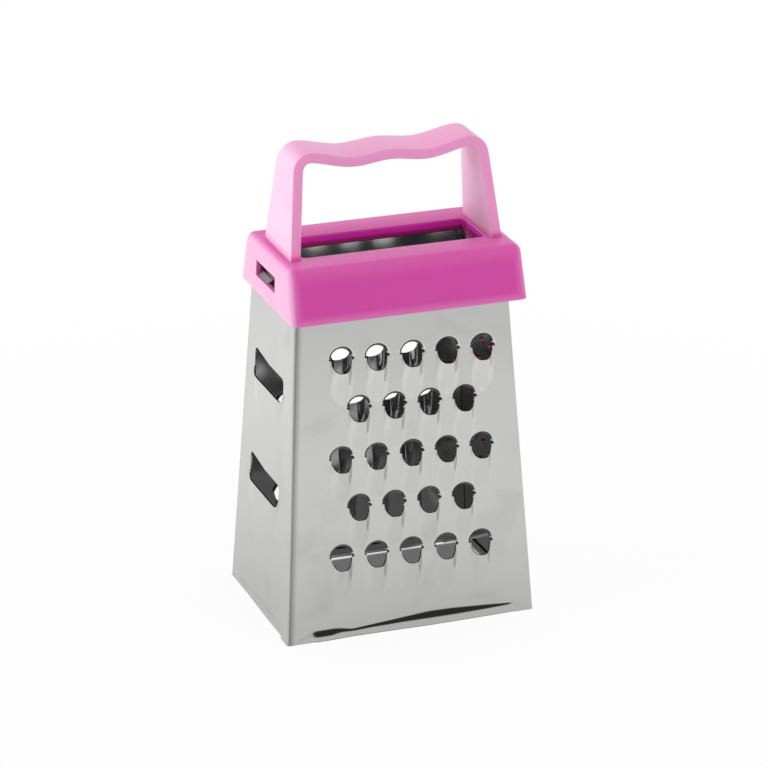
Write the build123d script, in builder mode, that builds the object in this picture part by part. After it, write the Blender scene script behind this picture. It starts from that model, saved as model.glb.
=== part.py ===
from build123d import *
import math
import os

os.makedirs("parts", exist_ok=True)

# Small four-sided kitchen grater: two pressed steel half shells and a moulded cap with a carrying handle
# Origin at the middle of the bottom rim, +Z up, coarse teeth front and back, slicing slots left, fine burrs right

# Steel body, outside sizes of the lapped corners
body_width = 50.7
body_depth = 36.6
body_height = 69.1
rim_width = 42.5
rim_depth = 26.6
sheet = 0.3
bend_radius = 0.6
lap_width = 4.0
lap_gap = 0.05
side_rim_drop = 0.8

# Hem folded inwards along the bottom of each panel
hem_gap = 0.2
hem_height = 2.2
hem_end_left = 4.6
hem_end_right = 4.1

# Lap flange ends
lap_notch_height = 1.8
lap_notch_width = 2.6
lap_ear_height = 1.6
lap_ear_width = 3.0

# Coarse teeth, each a punched hole with a scooped lip below it
tooth_pitch = 7.12
tooth_row_pitch = 9.86
tooth_rows = 5
tooth_columns = 5
tooth_hole_width = 4.5
tooth_hole_above = 2.45
tooth_hole_below = 2.55
tooth_lip_width = 4.3
tooth_rise = 1.3
tooth_ramp_length = 9.0

# Middle of each face panel's tooth pattern, seen from outside, and the small turn with which it was pressed
front_pattern_x = 0.9
front_pattern_height = 35.6
front_pattern_turn = -1.75
back_pattern_x = -0.3
back_pattern_height = 36.1
back_pattern_turn = 1.1

# Slicing slots in the left end panel
slot_heights = (23.8, 45.4)
slot_centre_y = 0.6
slot_width = 17.4
slot_gap = 5.4
slot_shoulder = 2.0
slot_rise = 1.3
slot_flank = 3.0
slot_land = 0.2
slot_ramp_length = 9.0
slot_corner = 1.2

# Fine burrs in the right end panel, small holes punched outwards with a square nail
burr_pitch = 4.2
burr_row_pitch = 4.5
burr_rows = 10
burr_columns = 5
burr_middle_height = 34.0
burr_foot = 2.0
burr_mouth = 1.0
burr_edge = 0.2
burr_rise = 0.55

# Snap barbs that hold the cap, pressed out of the end panels
barb_width = 8.0
barb_rise = 1.5
barb_height = 1.0
barb_centre_y = 1.6

# Moulded cap
cap_shift = 0.8
cap_base_height = 64.0
cap_top_height = 74.1
cap_base_width = 47.5
cap_base_depth = 32.0
cap_top_width = 46.7
cap_top_depth = 26.4
cap_corner = 1.6
cap_edge_round = 1.5
cap_wall = 1.0
cap_plate = 1.4
mouth_length = 37.4
mouth_width = 12.0
mouth_centre_y = -0.5
mouth_corner = 1.4
window_length = 11.4
window_height = 3.1
window_base_height = 67.2
window_centre_y = 0.7
stop_width = 2.0
stop_spread = 18.0
seat_gap = 0.05

# Carrying handle, a strap that narrows upwards
handle_foot_span = 42.6
handle_head_span = 39.1
handle_height = 94.0
handle_head_drop = 3.0
handle_foot_depth = 15.8
handle_head_depth = 8.8
strap = 2.0
strap_edge_round = 0.5
shoulder_span = 31.2
grip_dip_span = 14.4
grip_dip_drop = 1.6
grip_middle_drop = 0.9
grip_dip_strap = 1.6

# Allowance by which every cut runs past its surface
overrun = 0.5

side_lean = (body_width - rim_width) / 2 / body_height
face_lean = (body_depth - rim_depth) / 2 / body_height
side_angle = math.atan(side_lean)
face_angle = math.atan(face_lean)
end_inset = sheet + lap_gap
hem_fold = sheet + hem_gap / 2

# Planes that lie on the outside of the front panel and of the right end panel, local Y running up the panel
front_panel = Plane(
    origin=(0, -body_depth / 2, 0),
    x_dir=(1, 0, 0),
    z_dir=(0, -math.cos(face_angle), math.sin(face_angle)),
)
end_panel = Plane(
    origin=(body_width / 2 - end_inset, 0, 0),
    x_dir=(0, 1, 0),
    z_dir=(math.cos(side_angle), 0, math.sin(side_angle)),
)


def shell_outline(height):
    """Section of one half shell: lap flange, face panel, corner bend and end panel, one sheet thick."""
    half_width = body_width / 2 - side_lean * height
    half_depth = body_depth / 2 - face_lean * height
    with BuildSketch(Plane.XY.offset(height)) as outline:
        with BuildLine():
            outside = FilletPolyline(
                (-half_width, -half_depth + lap_width),
                (-half_width, -half_depth),
                (half_width - end_inset, -half_depth),
                (half_width - end_inset, half_depth - bend_radius - lap_gap),
                radius=bend_radius,
            )
            offset(outside, amount=sheet, side=Side.LEFT)
        make_face()
    return outline.sketch


def lip_form(width, flat, rise, length):
    """Solid under a raised lip: an arch whose ramp runs down from local Y zero and sinks into the panel."""
    slope = math.atan2(rise, length)
    across_ramp = Plane(origin=(0, 0, 0), x_dir=(1, 0, 0), z_dir=(0, -math.cos(slope), -math.sin(slope)))
    with BuildPart() as form:
        with BuildSketch(across_ramp):
            with BuildLine():
                TangentArc((-flat / 2, rise), (-width / 2, 0), tangent=(-1, 0))
                TangentArc((flat / 2, rise), (width / 2, 0), tangent=(1, 0))
                if flat:
                    Line((-flat / 2, rise), (flat / 2, rise))
                Polyline((-width / 2, 0), (-width / 2, -rise), (width / 2, -rise), (width / 2, 0))
            make_face()
        extrude(amount=math.hypot(length, rise))
        split(bisect_by=Plane.XY.offset(-sheet / 2), keep=Keep.TOP)
    return form.part


def hem_rise(lean_angle):
    """Height up the leaning panel at which the fold begins, so that the fold just touches the ground."""
    return hem_fold * (1 + math.sin(lean_angle)) / math.cos(lean_angle)


def hem_strip(panel, start, end, lean_angle):
    """Hooked hem along the bottom of a panel, between two places on the panel's local X axis."""
    fold = hem_fold
    rise = hem_rise(lean_angle)
    along = Plane(
        origin=panel.from_local_coords((start, 0, 0)),
        x_dir=panel.z_dir * -1,
        z_dir=panel.x_dir,
    )
    with BuildPart() as strip:
        with BuildSketch(along):
            with BuildLine():
                ThreePointArc((0, rise), (fold, rise - fold), (2 * fold, rise))
                Polyline(
                    (2 * fold, rise),
                    (2 * fold, hem_height),
                    (2 * fold - sheet, hem_height),
                    (2 * fold - sheet, rise),
                )
                ThreePointArc((2 * fold - sheet, rise), (fold, rise - fold + sheet), (sheet, rise))
                Line((sheet, rise), (0, rise))
            make_face()
        extrude(amount=end - start)
    return strip.part


def hem_relief(panel, start, end, lean_angle):
    """Block that takes away the flat bottom edge of a panel where the hem curls under."""
    rise = hem_rise(lean_angle)
    with BuildPart() as relief:
        with BuildSketch(panel):
            with Locations(((start + end) / 2, 0)):
                Rectangle(end - start, 2 * rise)
        extrude(amount=sheet + overrun, both=True)
    return relief.part


# Coarse tooth: the raised form, the same form one sheet further in, and the punched hole
tooth_form = lip_form(tooth_lip_width, 0, tooth_rise, tooth_ramp_length)
tooth_hollow = Pos(0, 0, -sheet) * tooth_form

with BuildPart() as tooth_punch:
    with BuildSketch(Plane.XY.offset(-sheet - overrun)):
        with BuildLine():
            hole_left = (-tooth_hole_width / 2, 0)
            hole_right = (tooth_hole_width / 2, 0)
            ThreePointArc(hole_left, (0, tooth_hole_above), hole_right)
            ThreePointArc(hole_right, (0, -tooth_hole_below), hole_left)
        make_face()
    extrude(amount=sheet + tooth_rise + 2 * overrun)

# Places of the teeth on a face panel: rows of five and four
tooth_places = []
for row in range(tooth_rows):
    columns = tooth_columns - row % 2
    for column in range(columns):
        across = (column - (columns - 1) / 2) * tooth_pitch
        up = ((tooth_rows - 1) / 2 - row) * tooth_row_pitch
        tooth_places.append((across, up))


def punch_teeth(pattern_x, pattern_height, pattern_turn):
    """Teeth of the face panel, pressed into the half shell under construction."""
    centre = Pos(pattern_x, pattern_height / math.cos(face_angle), 0)
    with Locations(Location(front_panel) * centre * Rot(0, 0, pattern_turn)):
        with Locations(*tooth_places):
            add(tooth_form)
            add(tooth_hollow, mode=Mode.SUBTRACT)
            add(tooth_punch.part, mode=Mode.SUBTRACT)


# Slicing slot: the wide raised lip, its hollow and the opening above it
slot_form = lip_form(slot_width, slot_width - 2 * slot_flank, slot_rise, slot_ramp_length)
slot_hollow = Pos(0, 0, -sheet) * slot_form

with BuildPart() as slot_punch:
    with BuildSketch(Plane.XY.offset(-sheet - overrun)):
        with Locations((0, (slot_gap - slot_shoulder) / 2)):
            upper = Rectangle(slot_width, slot_gap - slot_shoulder)
        fillet(upper.vertices().group_by(Axis.Y)[-1], slot_corner)
        with Locations((0, -slot_shoulder / 2)):
            lower = Rectangle(slot_width - 2 * slot_land, slot_shoulder)
        fillet(lower.vertices().group_by(Axis.Y)[0], slot_corner)
    extrude(amount=sheet + slot_rise + 2 * overrun)

slot_locations = [
    Location(end_panel) * Pos(-slot_centre_y, (height + slot_shoulder) / math.cos(side_angle), 0)
    for height in slot_heights
]

# Fine burr: a square frustum pushed out of the sheet, with a square hole through it
with BuildPart() as burr_form:
    for height, side in ((-sheet / 2, burr_foot), (burr_rise, burr_mouth + burr_edge)):
        with BuildSketch(Plane.XY.offset(height)):
            Rectangle(side, side, rotation=45)
    loft(ruled=True)
with BuildPart() as burr_punch:
    for height, side in ((-sheet - overrun, burr_mouth + sheet), (burr_rise + overrun, burr_mouth - sheet)):
        with BuildSketch(Plane.XY.offset(height)):
            Rectangle(side, side, rotation=45)
    loft(ruled=True)

burr_places = []
for row in range(burr_rows):
    columns = burr_columns - row % 2
    for column in range(columns):
        across = (column - (columns - 1) / 2) * burr_pitch
        burr_places.append((across, ((burr_rows - 1) / 2 - row) * burr_row_pitch))
burr_frame = Location(end_panel) * Pos(0, burr_middle_height / math.cos(side_angle), 0)

# Snap barb: a flap lanced out of the end panel's rim, over which the cap slides until its window catches
barb_location = Location(end_panel) * Pos(
    -barb_centre_y, (body_height - side_rim_drop - barb_height) / math.cos(side_angle), 0
)
with BuildPart() as barb:
    with BuildSketch(Plane.YZ):
        with BuildLine():
            Polyline(
                (barb_height, -sheet),
                (barb_height, 0),
                (0, barb_rise),
                (0, barb_rise - sheet),
                (barb_height - sheet, -sheet),
                close=True,
            )
        make_face()
    extrude(amount=barb_width / 2, both=True)
with BuildPart() as barb_gap:
    with BuildSketch(Plane.XY.offset(-sheet - overrun)):
        with Locations((0, (barb_height - sheet) / 2)):
            Rectangle(barb_width, barb_height - sheet)
    extrude(amount=sheet + 2 * overrun)

# Ranges of the hems on the two panels, between the corner bends
face_hem_start = -body_width / 2 + hem_end_left
face_hem_end = body_width / 2 - hem_end_right
end_hem_start = -body_depth / 2 + hem_end_right
end_hem_end = body_depth / 2 - hem_end_left

# Half shell before its panels are punched: flange, face panel and end panel, with the hems and the snap barb
with BuildPart() as half_shell:
    add(shell_outline(0))
    add(shell_outline(body_height))
    loft(ruled=True)

    # End panel's rim a little lower than the face panel's
    with BuildSketch(Plane.YZ.offset(rim_width / 2 - bend_radius)):
        with Locations((0, body_height)):
            Rectangle(rim_depth - 2 * (bend_radius + lap_gap), 2 * side_rim_drop)
    extrude(amount=2 * bend_radius, mode=Mode.SUBTRACT)

    # Pointed ear on top of the flange, and the slanted notch at its foot
    flange_face = Plane(
        origin=(-rim_width / 2, -rim_depth / 2 + bend_radius, body_height),
        x_dir=(0, -1, 0),
        z_dir=(-math.cos(side_angle), 0, math.sin(side_angle)),
    )
    with BuildSketch(flange_face):
        with BuildLine():
            Polyline(
                (0, -sheet),
                (0, lap_ear_height),
                (-lap_ear_width + bend_radius, -sheet),
                close=True,
            )
        make_face()
    extrude(amount=-sheet)
    with BuildSketch(Plane.YZ.offset(-body_width / 2 - overrun)):
        with BuildLine():
            flange_end = -body_depth / 2 + lap_width
            Polyline(
                (flange_end + overrun, -overrun),
                (flange_end + overrun, lap_notch_height),
                (flange_end, lap_notch_height),
                (flange_end - lap_notch_width, -overrun),
                close=True,
            )
        make_face()
    extrude(amount=2 * sheet + overrun, mode=Mode.SUBTRACT)

    # Hems
    add(hem_relief(front_panel, face_hem_start, face_hem_end, face_angle), mode=Mode.SUBTRACT)
    add(hem_strip(front_panel, face_hem_start, face_hem_end, face_angle))
    add(hem_relief(end_panel, end_hem_start, end_hem_end, side_angle), mode=Mode.SUBTRACT)
    add(hem_strip(end_panel, end_hem_start, end_hem_end, side_angle))

    # Snap barb at the end panel's rim
    with Locations(barb_location):
        add(barb_gap.part, mode=Mode.SUBTRACT)
        add(barb.part)

# Front and right: coarse teeth on the face panel, fine burrs on the end panel
with BuildPart() as front_right_shell:
    add(half_shell.part)
    punch_teeth(front_pattern_x, front_pattern_height, front_pattern_turn)
    with Locations(burr_frame):
        with Locations(*burr_places):
            add(burr_form.part)
            add(burr_punch.part, mode=Mode.SUBTRACT)

# Back and left: coarse teeth and slicing slots, the whole turned half a turn about the upright axis
with BuildPart() as slotted_shell:
    add(half_shell.part)
    punch_teeth(back_pattern_x, back_pattern_height, back_pattern_turn)
    with Locations(*slot_locations):
        add(slot_form)
        add(slot_hollow, mode=Mode.SUBTRACT)
        add(slot_punch.part, mode=Mode.SUBTRACT)
with BuildPart() as back_left_shell:
    add(slotted_shell.part, rotation=(0, 0, 180))

# Handle strap, its side view
with BuildPart() as handle:
    foot_z = cap_top_height - cap_plate / 2
    head_z = handle_height - handle_head_drop
    middle_z = handle_height - grip_middle_drop
    dip_z = handle_height - grip_dip_drop
    lean = (handle_foot_span - handle_head_span) / 2 / (head_z - cap_top_height)
    leg_tangent = (-lean, 1)
    with BuildSketch(Plane.XZ):
        with BuildLine():
            foot_out = (handle_foot_span / 2 + lean * cap_plate / 2, foot_z)
            head_out = (handle_head_span / 2, head_z)
            Line(foot_out, head_out)
            Spline(
                head_out,
                (shoulder_span / 2, handle_height),
                (grip_dip_span / 2, dip_z),
                (0, middle_z),
                tangents=(leg_tangent, (-1, 0)),
            )
            foot_in = (foot_out[0] - strap, foot_z)
            head_in = (head_out[0] - strap, head_z - strap / 2)
            Spline(
                (0, middle_z - strap),
                (grip_dip_span / 2, dip_z - grip_dip_strap),
                (shoulder_span / 2, handle_height - strap),
                head_in,
                tangents=((1, 0), (lean, -1)),
            )
            Line(head_in, foot_in)
            Line(foot_in, foot_out)
            Line((0, middle_z - strap), (0, middle_z))
        make_face()
        mirror(about=Plane.YZ)
    extrude(amount=handle_foot_depth, both=True)
    with BuildSketch(Plane.YZ):
        with BuildLine():
            taper = (handle_foot_depth - handle_head_depth) / 2 / (handle_height - cap_top_height)
            low = cap_top_height - foot_z
            high = overrun
            Polyline(
                (-handle_foot_depth / 2 - taper * low, foot_z),
                (handle_foot_depth / 2 + taper * low, foot_z),
                (handle_head_depth / 2 - taper * high, handle_height + high),
                (-handle_head_depth / 2 + taper * high, handle_height + high),
                close=True,
            )
        make_face()
    extrude(amount=handle_foot_span, both=True, mode=Mode.INTERSECT)

    # Rounded edges along both sides of the strap
    strap_sides = handle.faces().sort_by(Axis.Y)
    long_edges = ShapeList(strap_sides[0].edges() + strap_sides[-1].edges()).group_by(Axis.Z)[1:]
    fillet([edge for group in long_edges for edge in group], strap_edge_round)

with BuildPart() as cap_with_handle:
    # Flared skirt with rounded top edges
    for height, width, depth in (
        (cap_base_height, cap_base_width, cap_base_depth),
        (cap_top_height, cap_top_width, cap_top_depth),
    ):
        with BuildSketch(Plane.XY.offset(height)):
            RectangleRounded(width, depth, cap_corner)
    loft(ruled=True)
    fillet(cap_with_handle.faces().sort_by(Axis.Z)[-1].edges(), cap_edge_round)

    # Hollow under the top plate
    ceiling = cap_top_height - cap_plate
    slope_share = (ceiling - cap_base_height) / (cap_top_height - cap_base_height)
    ceiling_width = cap_base_width + (cap_top_width - cap_base_width) * slope_share
    ceiling_depth = cap_base_depth + (cap_top_depth - cap_base_depth) * slope_share
    for height, width, depth in (
        (cap_base_height, cap_base_width, cap_base_depth),
        (ceiling, ceiling_width, ceiling_depth),
    ):
        with BuildSketch(Plane.XY.offset(height)):
            RectangleRounded(width - 2 * cap_wall, depth - 2 * cap_wall, cap_corner - cap_wall)
    loft(ruled=True, mode=Mode.SUBTRACT)

    # Stops inside the corners, which sit on the steel rim
    stop_reach = ceiling_width / 2 - cap_wall / 2
    stop_inner = rim_width / 2 - cap_shift - end_inset - sheet - stop_width / 2
    for side in (-1, 1):
        with BuildSketch(Plane.XY.offset(body_height + seat_gap)):
            with Locations((0, side * stop_spread / 2)):
                Rectangle(2 * stop_reach, stop_width)
                Rectangle(2 * stop_inner, stop_width, mode=Mode.SUBTRACT)
        extrude(until=Until.NEXT, target=cap_with_handle.part)

    add(handle.part)

    # Mouth in the top plate and a window in each end wall
    with BuildSketch(Plane.XY.offset(ceiling - overrun)):
        with Locations((0, mouth_centre_y)):
            RectangleRounded(mouth_length, mouth_width, mouth_corner)
    extrude(amount=cap_plate + 2 * overrun, mode=Mode.SUBTRACT)
    for side in (-1, 1):
        with BuildSketch(Plane.YZ.offset(side * cap_base_width / 2)):
            with Locations((-side * window_centre_y, window_base_height + window_height / 2)):
                Rectangle(window_length, window_height)
        extrude(amount=-side * (cap_base_width - cap_top_width + 2 * cap_wall), mode=Mode.SUBTRACT)

moved_cap = Pos(cap_shift, 0, 0) * cap_with_handle.part
moved_cap.label = "cap_with_handle"
front_right_shell.part.label = "front_right_shell"
back_left_shell.part.label = "back_left_shell"

export_step(front_right_shell.part, "parts/front_right_shell.step")
export_step(back_left_shell.part, "parts/back_left_shell.step")
export_step(moved_cap, "parts/cap_with_handle.step")
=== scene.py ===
import math

import bmesh
import bpy
from bpy.props import FloatProperty, FloatVectorProperty, PointerProperty
from mathutils import Matrix, Vector


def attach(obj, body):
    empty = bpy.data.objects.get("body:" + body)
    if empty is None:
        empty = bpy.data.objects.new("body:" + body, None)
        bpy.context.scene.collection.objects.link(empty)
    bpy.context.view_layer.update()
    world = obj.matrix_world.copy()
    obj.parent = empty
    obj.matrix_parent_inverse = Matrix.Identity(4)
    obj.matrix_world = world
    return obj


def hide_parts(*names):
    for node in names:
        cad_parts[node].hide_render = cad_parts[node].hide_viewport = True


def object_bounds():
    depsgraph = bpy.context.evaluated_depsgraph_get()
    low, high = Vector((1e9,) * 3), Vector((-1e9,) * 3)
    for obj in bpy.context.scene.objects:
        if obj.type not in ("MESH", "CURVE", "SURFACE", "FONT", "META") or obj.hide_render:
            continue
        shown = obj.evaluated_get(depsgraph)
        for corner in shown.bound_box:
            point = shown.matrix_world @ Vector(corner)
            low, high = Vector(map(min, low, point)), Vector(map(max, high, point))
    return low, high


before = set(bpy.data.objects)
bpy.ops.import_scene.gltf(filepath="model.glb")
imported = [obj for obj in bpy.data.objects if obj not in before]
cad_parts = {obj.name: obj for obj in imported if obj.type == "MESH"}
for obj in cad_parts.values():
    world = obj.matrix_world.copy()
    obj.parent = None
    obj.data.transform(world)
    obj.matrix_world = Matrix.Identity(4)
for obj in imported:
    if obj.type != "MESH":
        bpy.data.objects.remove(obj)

bl_info = {
    "name": "Box grater",
    "version": (1, 0, 0),
    "blender": (4, 5, 0),
    "location": "View3D > Sidebar > Grater",
    "description": "Builds a small box grater: two pressed steel half shells, a moulded cap and its stage",
    "category": "Add Mesh",
}

MM = 0.001
NEAR = 0.001 * MM
MERGE = 0.004 * MM

cad_low, cad_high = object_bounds()


def length(name, description, size_mm):
    """A length property whose default is given in millimetres."""
    return FloatProperty(
        name=name, description=description, default=size_mm * MM, unit="LENGTH", precision=5
    )


def share(name, description, default):
    """A property between nothing and one."""
    return FloatProperty(name=name, description=description, default=default, min=0, max=1)


def colour(name, description, default):
    """A colour property."""
    return FloatVectorProperty(
        name=name, description=description, default=default, subtype="COLOR", size=4, min=0, max=1
    )


def turn_of(name, description, degrees):
    """An angle property whose default is given in degrees."""
    return FloatProperty(
        name=name, description=description, default=math.radians(degrees), subtype="ANGLE"
    )


class GraterBodySizes(bpy.types.PropertyGroup):
    """Sizes of the pressed steel half shells."""

    width: length("Width", "Outside width of the body at the bottom", 51.2)
    depth: length("Depth", "Outside depth of the body at the bottom", 36.6)
    height: length("Height", "Height of the steel rim under the cap", 69.1)
    rim_width: length("Rim width", "Outside width at the steel rim", 43.0)
    rim_depth: length("Rim depth", "Outside depth at the steel rim", 26.6)
    rim_drop: length("Rim drop", "How much lower the end panels' rims are", 0.8)
    sheet: length("Sheet", "Thickness of the steel", 0.3)
    bend: length("Bend radius", "Outside radius of the corner bends", 0.6)
    lap: length("Lap", "Width of the flange that laps round the corner", 4.0)
    lap_gap: length("Lap gap", "Gap between the flange and the panel under it", 0.05)
    pitch: length("Tooth pitch", "Distance between teeth in a row", 7.12)
    row_pitch: length("Row pitch", "Distance between rows of teeth", 9.86)
    hem_left: length("Hem start", "Distance of the hem from the lapped corner", 4.95)
    hem_right: length("Hem end", "Distance of the hem from the bent corner", 4.45)
    tooth_rise: length("Tooth rise", "How far a tooth's lip stands out", 1.1)
    slot_rise: length("Slot rise", "How far a slicing lip stands out", 0.5)
    slot_low: length("Lower slot", "Height of the lower slot's sill on the left panel", 24.4)
    slot_high: length("Upper slot", "Height of the upper slot's sill on the left panel", 46.0)
    burr_pitch: length("Burr pitch", "Distance between burrs in a row", 4.2)
    burr_row_pitch: length("Burr row pitch", "Distance between rows of burrs", 4.5)
    burr_height: length("Burr height", "Height of the middle of the burrs", 34.0)
    burr_foot: length("Burr foot", "Width of a burr where it leaves the sheet", 2.0)
    burr_mouth: length("Burr mouth", "Width of a burr at its sharp edge", 1.2)
    burr_rise: length("Burr rise", "How far a burr stands out", 0.55)
    barb_rise: length("Barb rise", "How far a snap barb stands out", 1.3)
    barb_height: length("Barb height", "Depth of a snap barb's slit below the rim", 0.9)


class GraterCapSizes(bpy.types.PropertyGroup):
    """Sizes of the moulded cap and its carrying handle."""

    shift: length("Shift", "Play of the cap to the right on the steel", 0.8)
    base_width: length("Base width", "Width at the skirt's bottom edge", 47.5)
    base_depth: length("Base depth", "Depth at the skirt's bottom edge", 32.0)
    top_width: length("Top width", "Width at the top plate", 46.7)
    top_depth: length("Top depth", "Depth at the top plate", 26.4)
    base: length("Base height", "Height of the skirt's bottom edge", 64.0)
    top: length("Top height", "Height of the top plate", 74.1)
    wall: length("Wall", "Thickness of the skirt", 1.0)
    plate: length("Plate", "Thickness of the top plate", 1.4)
    corner: length("Corner", "Radius of the upright corners", 1.6)
    edge: length("Top edge", "Radius of the top edge", 1.5)
    mouth_width: length("Mouth width", "Length of the opening in the top plate", 37.4)
    mouth_depth: length("Mouth depth", "Depth of the opening in the top plate", 12.0)
    window_width: length("Window width", "Length of the barb's window in an end wall", 11.4)
    window_height: length("Window height", "Height of the barb's window", 3.1)
    window_place: length("Window place", "Height of the window's middle", 68.75)
    strap: length("Strap", "Thickness of the handle's strap", 2.0)
    foot_depth: length("Foot depth", "Depth of the strap at the top plate", 15.8)
    head_depth: length("Head depth", "Depth of the strap at the grip", 8.8)


class GraterFinish(bpy.types.PropertyGroup):
    """Colours and gloss of the steel and the plastic."""

    steel: colour("Steel", "Colour of the polished sheet", (0.64, 0.64, 0.632, 1))
    # Painted shade: this darker colour is painted on the inside of the body
    inner_steel: colour("Inner steel", "Duller colour of the inside of the body", (0.47, 0.47, 0.47, 1))
    barb_steel: colour("Barb steel", "Matt colour of the bent snap barbs", (0.32, 0.32, 0.32, 1))
    # Painted shade: this dark colour is painted on up-turned cut edges and in a strip along the lapped
    # corner
    dark_steel: colour("Dark steel", "Colour of cut edges and of the lapped corner", (0.1, 0.1, 0.1, 1))
    steel_roughness: share("Steel roughness", "Blur of the steel's reflections", 0.13)
    plastic: colour("Plastic", "Colour of the moulded cap", (0.70, 0.085, 0.40, 1))
    # Painted light: this pale colour is painted on faces turned to the left lamp, on thin places and on
    # faces seen at a slant
    pale_plastic: colour("Pale plastic", "Colour where light comes through", (0.95, 0.60, 0.78, 1))
    # Painted light: this brighter, deeper pink is painted inside the cap
    inner_plastic: colour("Inner plastic", "Deeper colour inside the cap", (1.0, 0.04, 0.62, 1))
    plastic_roughness: share("Plastic roughness", "Blur of the plastic's gloss", 0.32)


class GraterStage(bpy.types.PropertyGroup):
    """Camera and floor."""

    focal_length: FloatProperty(name="Focal length", description="Lens in millimetres", default=173.3)
    azimuth: turn_of("Azimuth", "Turn of the camera to the left of the front", 19.69)
    elevation: turn_of("Elevation", "Height of the camera above level", 21.15)
    roll: turn_of("Roll", "Tilt of the picture", -0.196)
    distance: length("Distance", "Distance from the camera to the aim", 718.5)
    aim_right: length("Aim right", "Place of the aim along the long side", 0.865)
    aim_height: length("Aim height", "Height of the aim", 43.93)
    floor_radius: length("Floor radius", "Radius of the pale floor", 1500.0)


def let_go():
    """Leaves edit mode and deselects everything, so that the next step acts on nothing old."""
    if bpy.context.object and bpy.context.object.mode != "OBJECT":
        bpy.ops.object.mode_set(mode="OBJECT")
    bpy.ops.object.select_all(action="DESELECT")


def take(piece):
    """Makes one piece the only selected and active one."""
    let_go()
    piece.select_set(True)
    bpy.context.view_layer.objects.active = piece


def edit(piece, kind="VERT"):
    """Opens a piece in edit mode with nothing selected."""
    take(piece)
    bpy.ops.object.mode_set(mode="EDIT")
    bpy.ops.mesh.select_mode(type=kind)
    bpy.ops.mesh.select_all(action="DESELECT")


def choose(piece, kind, test):
    """Selects in edit mode the verts, edges or faces that pass the test."""
    mesh = bmesh.from_edit_mesh(piece.data)
    for part in getattr(mesh, kind):
        if test(part):
            part.select_set(True)
    mesh.select_flush_mode()
    bmesh.update_edit_mesh(piece.data)


def named(piece, name):
    """Gives an object and its mesh one name."""
    piece.name = name
    piece.data.name = name
    return piece


def finish_modifier(piece, name, kind, **settings):
    """Adds a modifier with its settings and applies it."""
    take(piece)
    modifier = piece.modifiers.new(name, kind)
    for setting, value in settings.items():
        setattr(modifier, setting, value)
    bpy.ops.object.modifier_apply(modifier=modifier.name)


def join(pieces, name):
    """Joins pieces into the first one and merges the corners that meet."""
    take(pieces[0])
    for piece in pieces:
        piece.select_set(True)
    bpy.ops.object.join()
    whole = bpy.context.object
    edit(whole)
    bpy.ops.mesh.select_all(action="SELECT")
    bpy.ops.mesh.remove_doubles(threshold=MERGE)
    let_go()
    return named(whole, name)


def copy_of(piece, name):
    """A copy with its own mesh."""
    twin = piece.copy()
    twin.data = piece.data.copy()
    bpy.context.scene.collection.objects.link(twin)
    return named(twin, name)


def place(piece, matrix):
    """Moves a piece by a matrix and puts the move into its mesh."""
    take(piece)
    piece.matrix_world = matrix
    bpy.ops.object.transform_apply(location=True, rotation=True, scale=True)


def start_from(add, centre, size, **settings):
    """Adds a unit primitive in the middle and draws it out to its place and size."""
    let_go()
    add(size=1, **settings)
    piece = bpy.context.object
    place(piece, Matrix.Translation(centre) @ Matrix.Diagonal((*size, 1)))
    return piece


def ring(points, piece=None):
    """Closed wire through points that a formula gives, as a new piece or inside the open one."""
    if piece is None:
        let_go()
    else:
        bpy.ops.mesh.select_all(action="DESELECT")
    bpy.ops.mesh.primitive_circle_add(vertices=len(points), radius=MM, fill_type="NOTHING")
    if piece is None:
        piece = bpy.context.object
        bpy.ops.object.mode_set(mode="EDIT")
    bpy.ops.mesh.select_mode(type="VERT")
    mesh = bmesh.from_edit_mesh(piece.data)
    mesh.verts.ensure_lookup_table()
    first = len(mesh.verts) - len(points)
    for vertex, point in zip(mesh.verts[first:], points):
        vertex.co = point
    bmesh.update_edit_mesh(piece.data)
    return piece


def bridge(piece, start, end, cuts):
    """Bridges the two rings whose vertices lie between two places in the vertex list."""
    mesh = bmesh.from_edit_mesh(piece.data)
    mesh.verts.ensure_lookup_table()
    for number, vertex in enumerate(mesh.verts):
        vertex.select_set(start <= number < end)
    mesh.select_flush_mode()
    bmesh.update_edit_mesh(piece.data)
    bpy.ops.mesh.select_mode(type="EDGE")
    bpy.ops.mesh.bridge_edge_loops(number_cuts=cuts, interpolation="LINEAR")
    bpy.ops.mesh.select_mode(type="VERT")


def press(piece, rise):
    """Moves each vertex out of the sheet by what a formula gives for its place in millimetres."""
    mesh = bmesh.from_edit_mesh(piece.data)
    for vertex in mesh.verts:
        vertex.co.z += rise(vertex.co.x / MM, vertex.co.y / MM)
    bmesh.update_edit_mesh(piece.data)


def between(knots, value):
    """Straight interpolation through pairs of (place, value)."""
    for (low, at_low), (high, at_high) in zip(knots, knots[1:]):
        if value <= high:
            return at_low + (at_high - at_low) * (value - low) / (high - low)
    return knots[-1][1]


def smooth(part):
    """Soft step from nothing to one."""
    part = min(max(part, 0), 1)
    return part * part * (3 - 2 * part)


def flat(points):
    """Points on the sheet from places in millimetres."""
    return [Vector((x * MM, y * MM, 0)) for x, y in points]


def mirrored(half):
    """Whole ring of points from its right half, which starts and ends on the middle line."""
    left = [(-x, y) for x, y in half[1:-1]]
    return [half[0]] + left + [half[-1]] + half[-2:0:-1]


def staggered(tile, pitch, row_pitch, rows, name):
    """Rows of five and four copies of a tile by turns, round the middle of the pattern."""
    fields = []
    for columns, top_row in ((5, 0), (4, 1)):
        field = copy_of(tile, "rows of " + str(columns))
        own_rows = len(range(top_row, rows, 2))
        for count, step in ((columns, (pitch, 0, 0)), (own_rows, (0, -2 * row_pitch, 0))):
            finish_modifier(
                field, "repeat", "ARRAY", count=count, use_relative_offset=False, use_constant_offset=True,
                constant_offset_displace=step, use_merge_vertices=step[0] > 0, merge_threshold=MERGE,
            )
        start = Vector((-(columns - 1) / 2 * pitch, ((rows - 1) / 2 - top_row) * row_pitch, 0))
        place(field, Matrix.Translation(start))
        fields.append(field)
    bpy.data.objects.remove(tile)
    return join(fields, name)


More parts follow.
